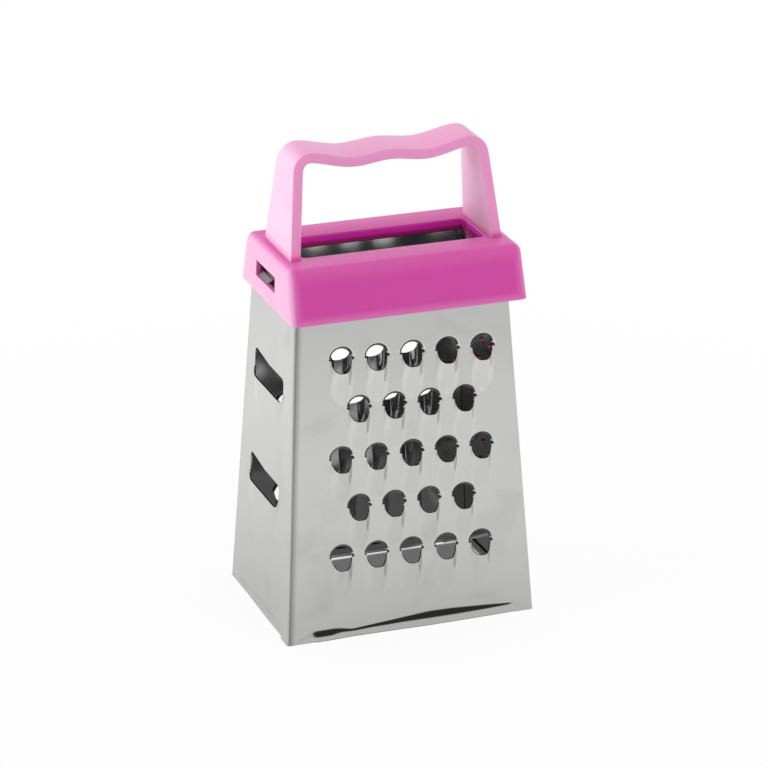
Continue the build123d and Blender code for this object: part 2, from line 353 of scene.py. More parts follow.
# Middle and turn of the tooth patterns on the two face panels, seen from outside
FRONT_PATTERN = (0.9 * MM, 35.6 * MM, math.radians(-1.75))
BACK_PATTERN = (-0.3 * MM, 36.1 * MM, math.radians(1.1))

# Tooth on the sheet, in millimetres from the middle of the line between its ears: the punched hole, the lip
# below it, and the scoop's half width by the distance below the ears
TOOTH_HALF_EAR = 2.12
TOOTH_HALF_LIP = 2.06
TOOTH_ABOVE = 2.2
TOOTH_BELOW = 2.42
TOOTH_REACH = 8.95
SCOOP_WIDTHS = (
    (0, 2.12), (1.2, 2.32), (4.5, 2.38), (6.4, 2.12), (7.0, 1.9), (7.5, 1.56), (7.9, 1.16), (8.5, 0.7),
    (TOOTH_REACH, 0),
)

# Rolled edge above a tooth's ears, in millimetres: its width, its depth, the height over which it fades in
# above the ears, and the depth over which its width tapers off below them
TOOTH_FOOT = 0.56
TOOTH_ROLL = 0.5
ROLL_FADE = 0.7
FOOT_REACH = 2.0

# Curves of the lip's outline, of the rolled edge and of the lip's rise, and where the lip's sides fall off
LIP_SQUARENESS = 0.75
ROLL_CURVE = 1.2
LIP_CURVE = 1.1
SIDE_FALL = 0.33

# Arch over a tooth's tile, in millimetres
ARCH_WIDTH = 3.05
ARCH_HEIGHT = 2.95
ARCH_END = 0.8
CORNER_DROP = 0.1

# Rows of teeth, and the steps along the right half of a tooth's rings, with the turn of the hole in degrees
# and the drop of the scoop in millimetres at some of them
TOOTH_ROWS = 5
ARCH_STEPS = 16
CORNER_STEPS = 2
SIDE_STEPS = 18
EAR_STEP = 22
HALF_STEPS = 2 * (ARCH_STEPS + CORNER_STEPS) + SIDE_STEPS
HOLE_TURN = ((0, 0), (ARCH_STEPS, 70), (EAR_STEP, 90), (36, 130), (HALF_STEPS, 180))
SCOOP_DROP = ((EAR_STEP, 0.02), (28, 1.6), (36, 5.6), (46, 8.3), (HALF_STEPS, TOOTH_REACH))
TILE_CUTS = 1
TOOTH_CUTS = 7


def tooth_tile_half(pitch, row_pitch):
    """Right half of the edge of one tooth's tile: over the arch, down the side, under the tail."""
    end_turn = math.acos(ARCH_END / ARCH_HEIGHT)
    turns = [end_turn * step / ARCH_STEPS for step in range(ARCH_STEPS + 1)]
    arch = [(ARCH_WIDTH * math.sin(turn), ARCH_HEIGHT * math.cos(turn)) for turn in turns]
    side = pitch / 2
    corner = ARCH_END - CORNER_DROP
    last_x, last_y = arch[-1]
    parts = [step / CORNER_STEPS for step in range(1, CORNER_STEPS + 1)]
    over = arch + [(last_x + (side - last_x) * part, last_y + (corner - last_y) * part) for part in parts]
    fall = ARCH_HEIGHT - row_pitch - corner
    down = [(side, corner + fall * step / SIDE_STEPS) for step in range(1, SIDE_STEPS + 1)]
    under = [(side - x, y - row_pitch) for x, y in over[1:]]
    return over + down + under


def scoop_half_width(drop):
    """Half width of a tooth's scoop at a distance below the ears."""
    return between(SCOOP_WIDTHS, min(max(drop, 0), TOOTH_REACH))


def scoop_edge_half():
    """Right half of the line where a tooth's form leaves the flat sheet."""
    points = []
    for step in range(EAR_STEP):
        turn = math.radians(between(HOLE_TURN, step))
        points.append(
            ((TOOTH_HALF_EAR + TOOTH_FOOT) * math.sin(turn), (TOOTH_ABOVE + TOOTH_FOOT) * math.cos(turn))
        )
    for step in range(EAR_STEP, HALF_STEPS + 1):
        drop = between(SCOOP_DROP, step)
        foot = TOOTH_FOOT * max(1 - drop / FOOT_REACH, 0)
        points.append((scoop_half_width(drop) + foot, -drop))
    points[-1] = (0, -TOOTH_REACH)
    return points


def hole_edge_half():
    """Right half of the punched edge: an arc above the ears and the squarer lip below them."""
    points = []
    for step in range(HALF_STEPS + 1):
        turn = math.radians(between(HOLE_TURN, step))
        if step <= EAR_STEP:
            points.append((TOOTH_HALF_EAR * math.sin(turn), TOOTH_ABOVE * math.cos(turn)))
        else:
            across = TOOTH_HALF_LIP * abs(math.sin(turn)) ** LIP_SQUARENESS
            points.append((across, TOOTH_BELOW * math.cos(turn)))
    return points


def scoop_height(x, y):
    """Part of the full rise at a place on a tooth: a broad tongue that fades into the sheet."""
    drop = -y
    half = scoop_half_width(drop) if 0 < drop < TOOTH_REACH else 0
    if half <= abs(x):
        return 0
    fade = min((1 - drop / TOOTH_REACH) / (1 - TOOTH_BELOW / TOOTH_REACH), 1)
    return fade ** LIP_CURVE * (1 - smooth((abs(x) / half - SIDE_FALL) / (1 - SIDE_FALL)))


def rolled_edge(x, y):
    """How far the punched edge above the ears is rolled in, in millimetres."""
    outward = (math.hypot(x / TOOTH_HALF_EAR, y / TOOTH_ABOVE) - 1) * TOOTH_ABOVE / TOOTH_FOOT
    if y <= 0 or outward >= 1:
        return 0
    return TOOTH_ROLL * (1 - max(outward, 0)) ** ROLL_CURVE * smooth(y / ROLL_FADE)


def tooth_field(body):
    """Teeth of one face panel, each on its tile of sheet, local Y up the panel and local Z out of it."""
    edge = tooth_tile_half(body.pitch / MM, body.row_pitch / MM)
    tile = None
    for half in (hole_edge_half(), scoop_edge_half(), edge):
        tile = ring(flat(mirrored(half)), tile)
    count = 2 * HALF_STEPS
    bridge(tile, count, 3 * count, TILE_CUTS)
    bridge(tile, 0, 2 * count, TOOTH_CUTS)
    press(tile, lambda x, y: body.tooth_rise * scoop_height(x, y) - MM * rolled_edge(x, y))
    let_go()
    return staggered(tile, body.pitch, body.row_pitch, TOOTH_ROWS, "tooth field")


# Slicing slot on its tile, in millimetres from the middle of the line between its ears: the slot, the foot,
# taper and flanks of its lip, and the tile's half width, top, bottom and corners
SLOT_ACROSS = -0.6
SLOT_HALF = 8.7
SLOT_ABOVE = 3.4
SLOT_BELOW = 1.4
SLOT_REACH = 9.0
SLOT_CORNER = 1.2
SLOT_FOOT = 0.3
SLOT_TAIL_CORNER = 3.4
SLOT_TAPER = 2.2
SLOT_FLANK = 3.2
SLOT_TILE = (10.6, 5.8, -10.0, 1.8, 3.6)

# Slant of the slot's upper edge and the height over which it comes in, the curves of the lip's taper, fade
# and ends, and the steps across, round the corners and down a ring
SLOT_SHEAR = 0.11
SLOT_SHEAR_START = 2.0
SLOT_TAPER_CURVE = 1.3
SLOT_FADE_CURVE = 1.15
SLOT_ARCH_CURVE = (0.6, 1.5)
SLOT_COUNTS = (20, 6, 8)
SLOT_TILE_CUTS = 2
SLOT_CUTS = 14


def corner_arc(centre, radius, start, steps):
    """Quarter turn of points, clockwise from an angle."""
    turns = [start - math.pi / 2 * step / steps for step in range(steps + 1)]
    return [(centre[0] + radius * math.cos(turn), centre[1] + radius * math.sin(turn)) for turn in turns]


def rounded_half(half_width, top, bottom, top_corner, bottom_corner):
    """Right half of a rounded rectangle from its top middle to its bottom middle."""
    across, arc, down = SLOT_COUNTS
    high = top - top_corner
    low = bottom + bottom_corner
    inset_high = half_width - top_corner
    inset_low = half_width - bottom_corner
    points = [(inset_high * step / across, top) for step in range(across)]
    points += corner_arc((inset_high, high), top_corner, math.pi / 2, arc)
    points += [(half_width, high + (low - high) * step / down) for step in range(1, down)]
    points += corner_arc((inset_low, low), bottom_corner, 0, arc)
    points += [(inset_low * step / across, bottom) for step in range(across - 1, 0, -1)]
    return points + [(0, bottom)]


def slot_height(x, y):
    """Part of the full rise at a place on a slicing lip: flat across the middle, arched at its ends."""
    drop = -y
    if not 0 < drop < SLOT_REACH:
        return 0
    half = SLOT_HALF + SLOT_FOOT - SLOT_TAPER * (drop / SLOT_REACH) ** SLOT_TAPER_CURVE
    if abs(x) >= half:
        return 0
    fade = min((1 - drop / SLOT_REACH) / (1 - SLOT_BELOW / SLOT_REACH), 1)
    across = max((abs(x) - half + SLOT_FLANK) / SLOT_FLANK, 0)
    at_lip, at_tail = SLOT_ARCH_CURVE
    return fade ** SLOT_FADE_CURVE * (1 - across ** 2) ** (at_lip + (at_tail - at_lip) * (1 - fade))


def slot_tile(body):
    """One slicing slot on its tile of sheet, with its upper edge drawn up towards the back."""
    slot = rounded_half(SLOT_HALF, SLOT_ABOVE, -SLOT_BELOW, SLOT_CORNER, SLOT_CORNER)
    foot = rounded_half(
        SLOT_HALF + SLOT_FOOT, SLOT_ABOVE + SLOT_FOOT, -SLOT_REACH, SLOT_CORNER + SLOT_FOOT, SLOT_TAIL_CORNER
    )
    tile = None
    for half, shear in ((slot, SLOT_SHEAR), (foot, SLOT_SHEAR), (rounded_half(*SLOT_TILE), 0)):
        points = [(x, y + shear * max(-x, 0) * smooth(y / SLOT_SHEAR_START)) for x, y in mirrored(half)]
        tile = ring(flat(points), tile)
    count = 2 * (len(slot) - 1)
    bridge(tile, count, 3 * count, SLOT_TILE_CUTS)
    bridge(tile, 0, 2 * count, SLOT_CUTS)
    press(tile, lambda x, y: body.slot_rise * slot_height(x, y))
    let_go()
    return named(tile, "slot tile")


def slot_pair(body):
    """Two slicing slots, one above the other."""
    slots = []
    for height in (body.slot_low, body.slot_high):
        slot = slot_tile(body)
        place(slot, Matrix.Translation((SLOT_ACROSS * MM, height + SLOT_BELOW * MM, 0)))
        slots.append(slot)
    return join(slots, "slots")


# Rows of burrs, the corners of a burr's ring, and the cuts up its side
BURR_ROWS = 10
BURR_SIDES = 16
BURR_CUTS = 3


def burr_field(body):
    """Fine burrs of the end panel: small square holes pushed out of the sheet."""
    tile = None
    for side, height in ((body.burr_foot, 0), (body.burr_mouth, body.burr_rise)):
        reach = side / math.sqrt(2)
        corners = []
        for step in range(BURR_SIDES):
            turn = math.pi / 2 + 2 * math.pi * step / BURR_SIDES
            out = reach / (abs(math.cos(turn)) + abs(math.sin(turn)))
            corners.append(Vector((out * math.cos(turn), out * math.sin(turn), height)))
        tile = ring(corners, tile)
    bridge(tile, 0, 2 * BURR_SIDES, BURR_CUTS)
    let_go()
    field = staggered(tile, body.burr_pitch, body.burr_row_pitch, BURR_ROWS, "burr field")
    place(field, Matrix.Translation((0, body.burr_height, 0)))
    return field


# Hem along a panel's bottom edge, in millimetres, with its counts of steps
HEM_RELIEF = 0.34
HEM_TOP = 3.4
HEM_FOLD = 0.32
HEM_HEIGHT = 2.2
HEM_STEPS = 80
HEM_ROWS = 26
FOLD_STEPS = 8

# Step above the hem: how far it stands out on a face and on an end panel as a share of its height, the share
# of the hem over which it fades at each end, and its height and upper edge in millimetres along the hem,
# whose start is 0 and whose end is 1
FACE_SWELL_SHARE = 0.31
END_SWELL_SHARE = 0.1
FADE_SHARE = 0.025
STEP_HEIGHT = (
    (0, 1.45), (0.1, 1.45), (0.15, 0.85), (0.2, 0.5), (0.3, 0.65), (0.45, 1.1), (0.58, 1.6), (0.7, 1.5),
    (0.86, 0.95), (1, 0.25),
)
STEP_TOP = ((0, 2.4), (0.12, 2.4), (0.2, 1.7), (0.35, 2.2), (0.58, 3.05), (0.7, 2.95), (0.86, 2.5), (1, 2.0))


def joggle(along, up, swell_share):
    """How far the folded bottom edge stands out, with a step back to the panel above the hem."""
    along = min(max(along, 0), 1)
    tall = between(STEP_HEIGHT, along)
    ends = smooth(min(along, 1 - along) / FADE_SHARE)
    return swell_share * MM * tall * ends * smooth((between(STEP_TOP, along) - up) / tall)


def hem_strip(start, end, swell_share):
    """Bottom strip of a panel between two places along it, curled inwards and up as a hem."""
    low = HEM_RELIEF * MM
    high = HEM_TOP * MM
    strip = start_from(
        bpy.ops.mesh.primitive_grid_add, ((start + end) / 2, (low + high) / 2, 0),
        (end - start, high - low, 1), x_subdivisions=HEM_STEPS, y_subdivisions=HEM_ROWS,
    )
    edit(strip, "EDGE")
    choose(strip, "edges", lambda side: all(abs(v.co.y - low) < NEAR for v in side.verts))
    bpy.ops.mesh.spin(
        steps=FOLD_STEPS, angle=math.pi, center=(0, low, -HEM_FOLD * MM), axis=(-1, 0, 0),
        use_auto_merge=False,
    )
    bpy.ops.mesh.extrude_edges_move(
        TRANSFORM_OT_translate={"value": (0, (HEM_HEIGHT - HEM_RELIEF) * MM, 0)}
    )
    press(strip, lambda x, y: joggle((x * MM - start) / (end - start), y, swell_share))
    let_go()
    return named(strip, "hem")


# Snap barb in millimetres: half its length, its place along the end panel, its slit with a border round
# it, and the drop of the bent flap
BARB_HALF = 3.0
BARB_ACROSS = -3.7
BARB_SLIT = 0.6
BARB_BORDER = 0.15
BARB_DROP = 1.05


def barb_tile(body, height):
    """Snap barb: a slit under the rim, whose upper edge is bent out and down as a flap."""
    half = BARB_HALF * MM
    upper = BARB_SLIT * MM / 2
    tile = start_from(
        bpy.ops.mesh.primitive_plane_add, (0, 0, 0),
        (2 * (BARB_HALF + BARB_BORDER) * MM, (BARB_SLIT + 2 * BARB_BORDER) * MM, 1),
    )
    edit(tile, "FACE")
    bpy.ops.mesh.select_all(action="SELECT")
    bpy.ops.mesh.inset(thickness=BARB_BORDER * MM)
    bpy.ops.mesh.delete(type="ONLY_FACE")
    bpy.ops.mesh.select_mode(type="EDGE")
    bpy.ops.mesh.select_all(action="DESELECT")
    choose(
        tile, "edges",
        lambda side: all(abs(v.co.y - upper) < NEAR and abs(v.co.x) < half + NEAR for v in side.verts),
    )
    bpy.ops.mesh.extrude_edges_move(
        TRANSFORM_OT_translate={"value": (0, -BARB_DROP * MM, body.barb_rise)}
    )
    let_go()
    place(tile, Matrix.Translation((BARB_ACROSS * MM, height + upper, 0)))
    return named(tile, "barb")


def outline_wire(points, name):
    """Open wire through points, one edge after another."""
    wire = ring(points)
    mesh = bmesh.from_edit_mesh(wire.data)
    ends = {0, len(points) - 1}
    closing = [side for side in mesh.edges if {v.index for v in side.verts} == ends]
    bmesh.ops.delete(mesh, geom=closing, context="EDGES")
    bmesh.update_edit_mesh(wire.data)
    let_go()
    return named(wire, name)


def fill_sheet(piece, top):
    """Fills the flat sheet between the wires and the open edges of what is pressed into it."""
    edit(piece, "EDGE")
    low = HEM_RELIEF * MM
    mesh = bmesh.from_edit_mesh(piece.data)
    for side in mesh.edges:
        on_sheet = all(abs(v.co.z) < NEAR and -NEAR < v.co.y < top + NEAR for v in side.verts)
        curled = side.link_faces and all(v.co.y < low + NEAR for v in side.verts)
        side.select_set(on_sheet and len(side.link_faces) < 2 and not curled)
    bmesh.update_edit_mesh(piece.data)
    bpy.ops.mesh.fill(use_beauty=True)
    let_go()


def panel(name, foot, head, height, hem_ends, pressings, swell_share):
    """Flat panel with its hem and pressings. Foot and head are the (left, right) places of its bends."""
    strip = hem_strip(hem_ends[0], hem_ends[1], swell_share)
    low = HEM_RELIEF * MM
    corners = (
        (hem_ends[0], low), (hem_ends[0], 0), (foot[0], 0), (head[0], height),
        (head[1], height), (foot[1], 0), (hem_ends[1], 0), (hem_ends[1], low),
    )
    wire = outline_wire([Vector((x, y, 0)) for x, y in corners], "outline")
    whole = join([strip, wire] + pressings, name)
    fill_sheet(whole, height)
    return whole


def panel_matrix(foot, facing, run, height):
    """Place of a leaning panel: local X along it, local Y up it, local Z out of it."""
    lean = math.atan(run / height)
    outward = facing * math.cos(lean) + Vector((0, 0, math.sin(lean)))
    upward = Vector((0, 0, math.cos(lean))) - facing * math.sin(lean)
    turn = Matrix((upward.cross(outward), upward, outward)).transposed().to_4x4()
    return Matrix.Translation(foot) @ turn


def bend_strip(points, rise, name):
    """Upright strip from a bottom line, extruded up the leaning corner."""
    wire = outline_wire(points, name)
    edit(wire, "EDGE")
    bpy.ops.mesh.select_all(action="SELECT")
    bpy.ops.mesh.extrude_edges_move(TRANSFORM_OT_translate={"value": rise})
    let_go()
    return wire


BEND_STEPS = 10


def quarter(centre, radius, start):
    """Points of a bend's quarter turn on the ground, from an angle in degrees."""
    turns = [math.radians(start + 90 * step / BEND_STEPS) for step in range(BEND_STEPS + 1)]
    return [
        Vector((centre[0] + radius * math.cos(turn), centre[1] + radius * math.sin(turn), 0))
        for turn in turns
    ]


# Flange in millimetres: the ear's foot from the corner, its tip's height, and the notch's height and run
EAR_FOOT = 3.0
EAR_TIP = 1.7
NOTCH_HEIGHT = 1.8
NOTCH_RUN = 2.6

# Least part of a normal that counts as facing one way, for the flange and for the cap's flat faces
FACING = 0.99
LEVEL = 0.999


def lapped_flange(body):
    """Flange and front left bend, with the ear at its top and the slanted notch at its foot."""
    half_width = body.width / 2
    half_depth = body.depth / 2
    bend = body.bend
    lap = body.lap - half_depth
    rise = Vector(((body.width - body.rim_width) / 2, (body.depth - body.rim_depth) / 2, body.height))
    bottom = [Vector((-half_width, lap, 0)), Vector((-half_width, EAR_FOOT * MM - half_depth, 0))]
    bottom += quarter((-half_width + bend, -half_depth + bend), bend, 180)
    strip = bend_strip(bottom, rise, "flange")
    edit(strip, "VERT")
    mesh = bmesh.from_edit_mesh(strip.data)
    ear_corner, bend_corner = (
        min(mesh.verts, key=lambda v, foot=foot: (v.co - foot - rise).length) for foot in bottom[1:3]
    )
    tip = mesh.verts.new(bend_corner.co + rise.normalized() * EAR_TIP * MM)
    mesh.faces.new((ear_corner, bend_corner, tip))
    bmesh.update_edit_mesh(strip.data)
    choose(strip, "faces", lambda face: abs(face.normal.x) > FACING)
    notch = Vector((-half_width, lap, NOTCH_HEIGHT * MM))
    foot = Vector((-half_width, lap - NOTCH_RUN * MM, 0))
    slant = (notch - foot).cross(Vector((1, 0, 0)))
    bpy.ops.mesh.bisect(plane_co=notch, plane_no=slant, clear_outer=slant.y > 0, clear_inner=slant.y < 0)
    let_go()
    return strip


# Angle past which an edge of the steel stays sharp, and how far its large faces rule the normals
SMOOTH_STEEL = math.radians(38)
NORMAL_WEIGHT = 50


def half_shell(body, name, pattern, end_pressing):
    """One pressing: flange, face panel with teeth, bend and end panel with its own pressings and barb."""
    inset = body.sheet + body.lap_gap
    half_width, half_depth = body.width / 2, body.depth / 2
    rim_width, rim_depth = body.rim_width / 2, body.rim_depth / 2
    front = panel_matrix((0, -half_depth, 0), Vector((0, -1, 0)), half_depth - rim_depth, body.height)
    end = panel_matrix((half_width - inset, 0, 0), Vector((1, 0, 0)), half_width - rim_width, body.height)

    across, height, turn = pattern
    teeth = tooth_field(body)
    middle = Matrix.Translation((across, height / front.col[1].z, 0))
    place(teeth, middle @ Matrix.Rotation(turn, 4, "Z"))
    face = panel(
        "face panel",
        (-half_width + body.bend, half_width - inset - body.bend),
        (-rim_width + body.bend, rim_width - inset - body.bend),
        body.height / front.col[1].z,
        (-half_width + body.hem_left, half_width - body.hem_right),
        [teeth],
        FACE_SWELL_SHARE,
    )
    place(face, front)

    rim = (body.height - body.rim_drop) / end.col[1].z
    side = panel(
        "end panel",
        (-half_depth + body.bend, half_depth - body.bend - body.lap_gap),
        (-rim_depth + body.bend, rim_depth - body.bend - body.lap_gap),
        rim,
        (-half_depth + body.hem_right, half_depth - body.hem_left),
        [end_pressing, barb_tile(body, rim - body.barb_height)],
        END_SWELL_SHARE,
    )
    place(side, end)

    rise = Vector((rim_width - half_width, half_depth - rim_depth, body.height))
    centre = (half_width - inset - body.bend, -half_depth + body.bend)
    right_bend = bend_strip(quarter(centre, body.bend, 270), rise, "right bend")
    shell = join([lapped_flange(body), face, right_bend, side], name)
    edit(shell)
    bpy.ops.mesh.select_all(action="SELECT")
    bpy.ops.mesh.normals_make_consistent(inside=False)
    let_go()
    finish_modifier(shell, "sheet", "SOLIDIFY", thickness=body.sheet, offset=-1)
    take(shell)
    bpy.ops.object.shade_smooth_by_angle(angle=SMOOTH_STEEL)
    finish_modifier(
        shell, "true normals", "WEIGHTED_NORMAL", mode="FACE_AREA_WITH_ANGLE", weight=NORMAL_WEIGHT,
        keep_sharp=True,
    )
    return shell


class Shading:
    """Adds and links the nodes of a material, a world or a node group."""

    def __init__(self, tree):
        self.nodes = tree.nodes
        self.links = tree.links

    def feed(self, socket, value):
        """Gives an input a plain value or another node's output."""
        if isinstance(value, bpy.types.NodeSocket):
            self.links.new(value, socket)
        else:
            socket.default_value = value

    def add(self, kind, inputs=None, **settings):
        """New node with its settings and then its inputs."""
        node = self.nodes.new("ShaderNode" + kind)
        for name, value in settings.items():
            setattr(node, name, value)
        for name, value in (inputs or {}).items():
            self.feed(node.inputs[name], value)
        return node

    def spread(self, source, span, result, kind="SMOOTHSTEP"):
        """Maps a span of values to another one, softly unless it is told otherwise."""
        inputs = {"Value": source, "From Min": span[0], "From Max": span[1]}
        inputs.update({"To Min": result[0], "To Max": result[1]})
        return self.add("MapRange", inputs, interpolation_type=kind).outputs["Result"]

    def calculate(self, operation, first, *others):
        """Math node over one value, or one after another over several."""
        if not others:
            return self.add("Math", {0: first}, operation=operation).outputs["Value"]
        for value in others:
            first = self.add("Math", {0: first, 1: value}, operation=operation).outputs["Value"]
        return first

    def mix(self, factor, first, second):
        """Mix of two colours, each an output or a plain colour."""
        inputs = {"Factor": factor, "A": first, "B": second}
        return self.add("Mix", inputs, data_type="RGBA").outputs["Result"]

    def greys(self, source, stops):
        """Colour ramp of greys at given places."""
        shade = self.add("ValToRGB", {"Fac": source})
        elements = shade.color_ramp.elements
        while len(elements) < len(stops):
            elements.new(0.5)
        for element, (spot, grey) in zip(elements, stops):
            element.position = spot
            element.color = (grey, grey, grey, 1)
        return shade.outputs["Color"]

    def split(self, vector):
        """The three parts of a vector, by name."""
        return self.add("SeparateXYZ", {"Vector": vector}).outputs


def shifted(start, span):
    """A span of places, moved along by its start."""
    return start + span[0], start + span[1]


# Wear: the noise of its smudges, and the span of that noise over which a smudge comes in
SMUDGE_NOISE = {"Scale": 90, "Detail": 4, "Distortion": 0.6}
SMUDGE_SPAN = (0.5, 0.72)


def wear_group():
    """Soft waves and faint smudges over an object, made on first use and shared by steel and plastic."""
    group = bpy.data.node_groups.get("fine wear")
    if group:
        return group
    group = bpy.data.node_groups.new("fine wear", "ShaderNodeTree")
    for label, kind in (("Place", "NodeSocketVector"), ("Waves", "NodeSocketFloat")):
        group.interface.new_socket(name=label, in_out="INPUT", socket_type=kind)
    for label in ("Waves", "Smudge"):
        group.interface.new_socket(name=label, in_out="OUTPUT", socket_type="NodeSocketFloat")
    tree = Shading(group)
    given = group.nodes.new("NodeGroupInput").outputs
    result = group.nodes.new("NodeGroupOutput").inputs
    waves = tree.add("TexNoise", {"Vector": given["Place"], "Scale": given["Waves"], "Detail": 1})
    smudge = tree.add("TexNoise", {"Vector": given["Place"], **SMUDGE_NOISE})
    tree.feed(result["Waves"], waves.outputs["Fac"])
    tree.feed(result["Smudge"], tree.spread(smudge.outputs["Fac"], SMUDGE_SPAN, (0, 1)))
    return group


def worn_material(name, waves):
    """New material with its tree, its surface, the place and normal on the object, and the shared wear."""
    material = bpy.data.materials.new(name)
    material.use_nodes = True
    tree = Shading(material.node_tree)
    here = tree.add("TexCoord").outputs
    wear = tree.add("Group", node_tree=wear_group())
    tree.feed(wear.inputs["Place"], here["Object"])
    tree.feed(wear.inputs["Waves"], waves)
    surface = tree.nodes["Principled BSDF"].inputs
    return material, tree, surface, tree.split(here["Object"]), tree.split(here["Normal"]), wear.outputs


def wave(tree, surface, wear, strength, depth):
    """Bumps the surface's normal by the wear's waves."""
    bump = tree.add("Bump", {"Strength": strength, "Distance": depth, "Height": wear["Waves"]})
    tree.feed(surface["Normal"], bump.outputs["Normal"])


# Steel: its waves, and how much a smudge darkens and blurs it
STEEL_WAVES = 45
STEEL_WAVE_STRENGTH = 0.3
STEEL_WAVE_DEPTH = 0.3 * MM
STEEL_SMUDGE_SHADE = 0.06
STEEL_SMUDGE_BLUR = 0.06

# Painted shade in a strip along the lapped corner: the turn of a face panel, the distance from the corner,
# and the shade
FACE_TURN = (0.75, 0.95)
STRIP_SPAN = (0.1 * MM, 1.9 * MM)
STRIP_SHADE = 0.7

# Snap barbs: where they start beyond the leaning end panels and above the bottom, and their look
BARB_SPAN = (-0.25 * MM, -0.1 * MM)
BARB_LEVEL = (65.5 * MM, 66 * MM)
BARB_METAL = 0.1
BARB_BLUR = 0.5

# Painted shade inside the body, where a place lies behind the middle line along its own normal, and on cut
# edges, whose normals turn up
INSIDE_SPAN = (-6 * MM, -2 * MM)
CUT_TURN = (0.45, 0.65)
CUT_SHADE = 0.85


def steel_material(finish, body):
    """Polished sheet with faint waves, with painted shade along the lapped corner, inside the body and on
    up-turned cut edges, and duller on barbs.
    """
    material, tree, surface, spot, turned, wear = worn_material("polished steel sheet", STEEL_WAVES)
    half_width = body.width / 2
    lean = (body.width - body.rim_width) / 2 / body.height
    on_face = tree.spread(tree.calculate("ABSOLUTE", turned["Y"]), FACE_TURN, (0, 1))
    across = tree.calculate("MULTIPLY", tree.calculate("SIGN", spot["Y"]), spot["X"])
    edge = tree.calculate("ADD", tree.calculate("MULTIPLY", spot["Z"], -lean), half_width)
    strip = tree.spread(tree.calculate("SUBTRACT", edge, across), STRIP_SPAN, (1, 0))
    shade = tree.calculate("MULTIPLY", strip, on_face, STRIP_SHADE)
    smudged = tree.calculate("MULTIPLY", wear["Smudge"], STEEL_SMUDGE_SHADE)
    # Painted shade in a strip along the lapped corner, together with real smudges
    tone = tree.mix(tree.calculate("MAXIMUM", shade, smudged), finish.steel, finish.dark_steel)

    upright = tree.calculate("MULTIPLY", spot["Z"], lean)
    out = tree.calculate("ADD", tree.calculate("ABSOLUTE", spot["X"]), upright)
    beyond = tree.spread(out, shifted(half_width, BARB_SPAN), (0, 1))
    barb = tree.calculate("MULTIPLY", beyond, tree.spread(spot["Z"], BARB_LEVEL, (0, 1)))
    # Painted shade: the inside of the body and cut edges whose normals turn up are painted darker
    reach = [tree.calculate("MULTIPLY", turned[way], spot[way]) for way in ("X", "Y")]
    inside = tree.spread(tree.calculate("ADD", *reach), INSIDE_SPAN, (1, 0))
    cut_edge = tree.spread(turned["Z"], CUT_TURN, (0, CUT_SHADE))
    for mask, colour_there in (
        (inside, finish.inner_steel), (cut_edge, finish.dark_steel), (barb, finish.barb_steel),
    ):
        tone = tree.mix(mask, tone, colour_there)
    tree.feed(surface["Base Color"], tone)
    tree.feed(surface["Metallic"], tree.spread(barb, (0, 1), (1, BARB_METAL)))
    rough = finish.steel_roughness
    blur = tree.spread(wear["Smudge"], (0, 1), (rough, rough + STEEL_SMUDGE_BLUR))
    barb_blur = tree.calculate("MULTIPLY", barb, BARB_BLUR)
    tree.feed(surface["Roughness"], tree.calculate("MAXIMUM", blur, barb_blur))
    wave(tree, surface, wear, STEEL_WAVE_STRENGTH, STEEL_WAVE_DEPTH)
    return material


# Plastic: its waves, how much a smudge blurs it, and how light enters and leaves it
PLASTIC_WAVES = 80
PLASTIC_WAVE_STRENGTH = 0.15
PLASTIC_WAVE_DEPTH = 0.1 * MM
PLASTIC_SMUDGE_BLUR = 0.08
PLASTIC_SURFACE = {
    "Subsurface Weight": 0.3,
    "Subsurface Radius": (4 * MM, 1.4 * MM, 2.8 * MM),
    "Subsurface Scale": 1.0,
    "Specular IOR Level": 0.09,
}

# Painted light on the plastic, each with the span over which it comes in and how pale it gets: faces turned
# to the left lamp, a painted glow on the strap above the top plate and on the skirt's ends, top and foot,
# and a painted sheen on faces seen at a slant
LIT_TURN = (-0.95, -0.3)
LIT_PALE = 0.38
STRAP_SPAN = (0, 1.5 * MM)
STRAP_PALE = 0.5
END_SHARES = (0.44, 0.5)
END_PALE = 0.25
HIGH_SPAN = (-3.5 * MM, -0.6 * MM)
HIGH_PALE = 0.075
FOOT_SPAN = (0, 1.8 * MM)
FOOT_PALE = 0.2
SLANT_SPAN = (0.15, 0.75)
SLANT_PALE = 0.08

# Painted light inside the cap: the spans over which it ends below the plate's top, within its long sides and
# past the mouth's ends
UNDER_SPAN = (-0.45 * MM, -0.25 * MM)
DEPTH_SPAN = (-0.9 * MM, -0.7 * MM)
MOUTH_SPAN = (1.0 * MM, 1.3 * MM)


